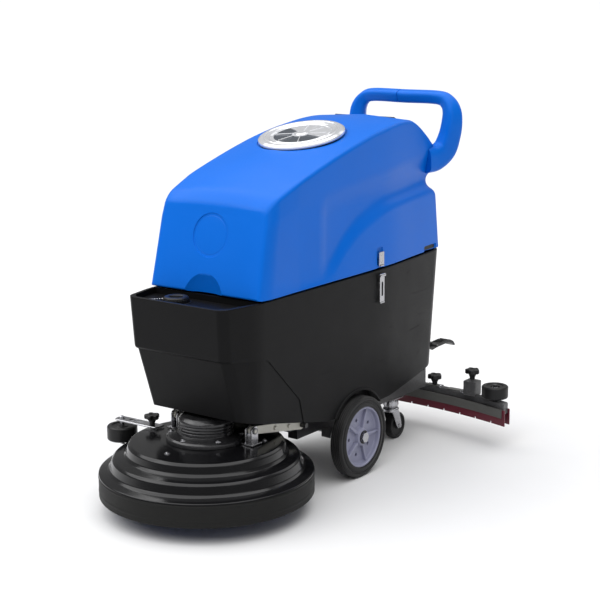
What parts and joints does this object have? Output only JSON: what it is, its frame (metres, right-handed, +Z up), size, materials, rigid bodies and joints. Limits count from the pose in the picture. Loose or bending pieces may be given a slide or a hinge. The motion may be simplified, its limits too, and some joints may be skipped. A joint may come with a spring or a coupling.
{
  "type": "walk-behind floor scrubber",
  "caption": "Walk-behind floor scrubber: round brush deck at the front, black lower tank, blue upper tank with round lid and push handle, wheels, casters and a curved squeegee.",
  "frame": {"origin": "on the floor, at the middle of the machine's length and width", "axes": "+Z up, -Y towards the front (brush deck), +Y towards the rear (push handle and squeegee), +X to the machine's left"},
  "size_m": [0.766, 1.345, 1.0228],
  "materials": {
    "blue_plastic": "rotomoulded polyethylene, satin with fine orange peel",
    "black_plastic": "moulded, satin",
    "gloss_black": "moulded, glossy",
    "black_rubber": "matt",
    "tyre": "moulded, semi-gloss shoulder",
    "maroon_rubber": "smooth",
    "rim_plastic": "moulded, satin",
    "lid_plastic": "polished",
    "zinc": "zinc plated",
    "cream_paint": "powder coated",
    "dark_paint": "powder coated",
    "grey_plastic": "moulded, satin",
    "motor_metal": "cast housing, dark lacquer",
    "bristle": "nylon tufts",
    "signal_red": "moulded"
  },
  "bodies": {
    "machine": {"solution_tank": "black_plastic", "main_frame": "dark_paint", "axle": "zinc", "battery_front": "grey_plastic", "battery_rear": "grey_plastic", "left_caster_plate": "zinc", "right_caster_plate": "zinc", "tank_hinge": "zinc", "fill_chain": "zinc"},
    "left_wheel": {"left_tyre": "tyre", "left_rim": "rim_plastic"},
    "right_wheel": {"right_tyre": "tyre", "right_rim": "rim_plastic"},
    "left_caster": {"left_caster_fork": "zinc"},
    "right_caster": {"right_caster_fork": "zinc"},
    "left_caster_roll": {"left_caster_wheel": "black_rubber"},
    "right_caster_roll": {"right_caster_wheel": "black_rubber"},
    "arms": {"lift_arms": "cream_paint"},
    "deck": {"deck_cover": "gloss_black", "deck_skirt": "black_rubber", "brush_motor": "motor_metal", "clevis_left": "zinc", "clevis_right": "zinc", "bumper_arm": "dark_paint"},
    "brush": {"brush_disc": "grey_plastic", "brush_bristles": "bristle"},
    "bumper": {"bumper_roller": "black_plastic"},
    "bumper_clamp": {"bumper_knob": "black_plastic"},
    "squeegee_carrier": {"squeegee_arm": "dark_paint"},
    "squeegee": {"squeegee_beam": "dark_paint", "rear_blade": "maroon_rubber", "rear_clamp": "zinc", "front_blade": "maroon_rubber", "front_clamp": "grey_plastic", "suction_spigot": "black_plastic"},
    "upper_tank": {"recovery_tank": "blue_plastic", "push_handle": "blue_plastic", "float_cage": "grey_plastic", "vacuum_motor": "motor_metal", "control_panel": "black_plastic", "latch_keeper_left": "zinc", "latch_keeper_right": "zinc", "hinge_bracket": "zinc"},
    "lid": {"tank_lid": "lid_plastic"},
    "float": {"float_ball": "signal_red"},
    "key": {"key_switch": "zinc"},
    "brush_rocker": {"brush_switch": "grey_plastic"},
    "vacuum_rocker": {"vacuum_switch": "signal_red"},
    "valve": {"valve_knob": "black_plastic"},
    "latch_left": {"latch_lever_left": "zinc"},
    "latch_right": {"latch_lever_right": "zinc"},
    "filler_cap": {"fill_cap": "black_plastic"},
    "pedal": {"deck_pedal": "black_plastic"},
    "hand_lever": {"squeegee_lever": "black_plastic"},
    "inner_clamp_left": {"inner_knob_left": "black_plastic"},
    "outer_clamp_left": {"outer_knob_left": "black_plastic"},
    "end_wheel_left": {"end_roller_left": "black_plastic"},
    "inner_clamp_right": {"inner_knob_right": "black_plastic"},
    "outer_clamp_right": {"outer_knob_right": "black_plastic"},
    "end_wheel_right": {"end_roller_right": "black_plastic"}
  },
  "joints": [
    {"name": "left_wheel_roll", "type": "hinge", "parent": "machine", "child": "left_wheel", "pos_m": [0, 0.0415, 0.1135], "axis": [1, 0, 0], "continuous": true},
    {"name": "left_caster_swivel", "type": "hinge", "parent": "machine", "child": "left_caster", "pos_m": [0.072, 0.37, 0.08], "axis": [0, 0, 1], "continuous": true},
    {"name": "left_caster_spin", "type": "hinge", "parent": "left_caster", "child": "left_caster_roll", "pos_m": [0.072, 0.392, 0.04], "axis": [1, 0, 0], "continuous": true},
    {"name": "right_wheel_roll", "type": "hinge", "parent": "machine", "child": "right_wheel", "pos_m": [0, 0.0415, 0.1135], "axis": [1, 0, 0], "continuous": true},
    {"name": "right_caster_swivel", "type": "hinge", "parent": "machine", "child": "right_caster", "pos_m": [-0.072, 0.37, 0.08], "axis": [0, 0, 1], "continuous": true},
    {"name": "right_caster_spin", "type": "hinge", "parent": "right_caster", "child": "right_caster_roll", "pos_m": [-0.072, 0.392, 0.04], "axis": [1, 0, 0], "continuous": true},
    {"name": "deck_lift", "type": "hinge", "parent": "machine", "child": "arms", "pos_m": [0, -0.1525, 0.1855], "axis": [1, 0, 0], "range_deg": [0, 12.15]},
    {"name": "deck_float", "type": "hinge", "parent": "arms", "child": "deck", "pos_m": [0, -0.3625, 0.222], "axis": [1, 0, 0], "range_deg": [-12.3, 0]},
    {"name": "deck_pedal_tilt", "type": "hinge", "parent": "machine", "child": "pedal", "pos_m": [0.096, 0.534, 0.262], "axis": [1, 0, 0], "range_deg": [0, 25]},
    {"name": "brush_spin", "type": "hinge", "parent": "deck", "child": "brush", "pos_m": [0, -0.3925, 0.09], "axis": [0, 0, 1], "continuous": true},
    {"name": "bumper_roll", "type": "hinge", "parent": "deck", "child": "bumper", "pos_m": [-0.292, -0.398, 0.142], "axis": [0, 0, 1], "continuous": true},
    {"name": "bumper_knob_turn", "type": "hinge", "parent": "deck", "child": "bumper_clamp", "pos_m": [-0.184, -0.396, 0.2], "axis": [0, 0, 1], "range_deg": [0, 360]},
    {"name": "squeegee_lift", "type": "hinge", "parent": "machine", "child": "squeegee_carrier", "pos_m": [0, 0.25, 0.124], "axis": [-1, 0, 0], "range_deg": [0, 10.3]},
    {"name": "squeegee_lever_tilt", "type": "hinge", "parent": "machine", "child": "hand_lever", "pos_m": [-0.096, 0.534, 0.262], "axis": [-1, 0, 0], "range_deg": [0, 42]},
    {"name": "squeegee_swivel", "type": "hinge", "parent": "squeegee_carrier", "child": "squeegee", "pos_m": [0, 0.536, 0.13], "axis": [0, 0, 1], "range_deg": [-12, 12]},
    {"name": "inner_knob_left_turn", "type": "hinge", "parent": "squeegee", "child": "inner_clamp_left", "pos_m": [0.105, 0.56601, 0.15], "axis": [0, 0, 1], "range_deg": [0, 360]},
    {"name": "outer_knob_left_turn", "type": "hinge", "parent": "squeegee", "child": "outer_clamp_left", "pos_m": [0.246, 0.54796, 0.15], "axis": [0, 0, 1], "range_deg": [0, 360]},
    {"name": "end_roller_left_roll", "type": "hinge", "parent": "squeegee", "child": "end_wheel_left", "pos_m": [0.331, 0.534, 0.152], "axis": [0, 0, 1], "continuous": true},
    {"name": "inner_knob_right_turn", "type": "hinge", "parent": "squeegee", "child": "inner_clamp_right", "pos_m": [-0.105, 0.56601, 0.15], "axis": [0, 0, 1], "range_deg": [0, 360]},
    {"name": "outer_knob_right_turn", "type": "hinge", "parent": "squeegee", "child": "outer_clamp_right", "pos_m": [-0.246, 0.54796, 0.15], "axis": [0, 0, 1], "range_deg": [0, 360]},
    {"name": "end_roller_right_roll", "type": "hinge", "parent": "squeegee", "child": "end_wheel_right", "pos_m": [-0.331, 0.534, 0.152], "axis": [0, 0, 1], "continuous": true},
    {"name": "tank_tilt", "type": "hinge", "parent": "machine", "child": "upper_tank", "pos_m": [0, 0.5385, 0.5645], "axis": [-1, 0, 0], "range_deg": [0, 75]},
    {"name": "lid_hinge", "type": "hinge", "parent": "upper_tank", "child": "lid", "pos_m": [0, 0.14374, 0.96508], "axis": [-1, 0, 0], "range_deg": [0, 100]},
    {"name": "float_rise", "type": "slide", "parent": "upper_tank", "child": "float", "axis": [0, 0, 1], "range_m": [0, 0.05]},
    {"name": "key_turn", "type": "hinge", "parent": "upper_tank", "child": "key", "pos_m": [-0.072, 0.42129, 0.91932], "axis": [0, 0.4386, 0.8987], "range_deg": [0, 90]},
    {"name": "brush_switch_rock", "type": "hinge", "parent": "upper_tank", "child": "brush_rocker", "pos_m": [-0.024, 0.42348, 0.92382], "axis": [1, 0, 0], "range_deg": [-5, 5]},
    {"name": "vacuum_switch_rock", "type": "hinge", "parent": "upper_tank", "child": "vacuum_rocker", "pos_m": [0.024, 0.42348, 0.92382], "axis": [1, 0, 0], "range_deg": [-5, 5]},
    {"name": "valve_turn", "type": "hinge", "parent": "upper_tank", "child": "valve", "pos_m": [0.072, 0.42129, 0.91932], "axis": [0, 0.4386, 0.8987], "range_deg": [0, 270]},
    {"name": "latch_left_swing", "type": "hinge", "parent": "machine", "child": "latch_left", "pos_m": [0.1842, 0.148, 0.548], "axis": [0, -1, 0], "range_deg": [0, 120]},
    {"name": "latch_right_swing", "type": "hinge", "parent": "machine", "child": "latch_right", "pos_m": [-0.1842, 0.148, 0.548], "axis": [0, 1, 0], "range_deg": [0, 120]},
    {"name": "fill_cap_lift", "type": "slide", "parent": "machine", "child": "filler_cap", "axis": [0, 0, 1], "range_m": [0, 0.06]}
  ],
  "couplings": [
    {"joint": "deck_float", "follows": "deck_lift", "ratio": -1},
    {"joint": "deck_pedal_tilt", "follows": "deck_lift", "ratio": 2},
    {"joint": "squeegee_lever_tilt", "follows": "squeegee_lift", "ratio": 4}
  ]
}
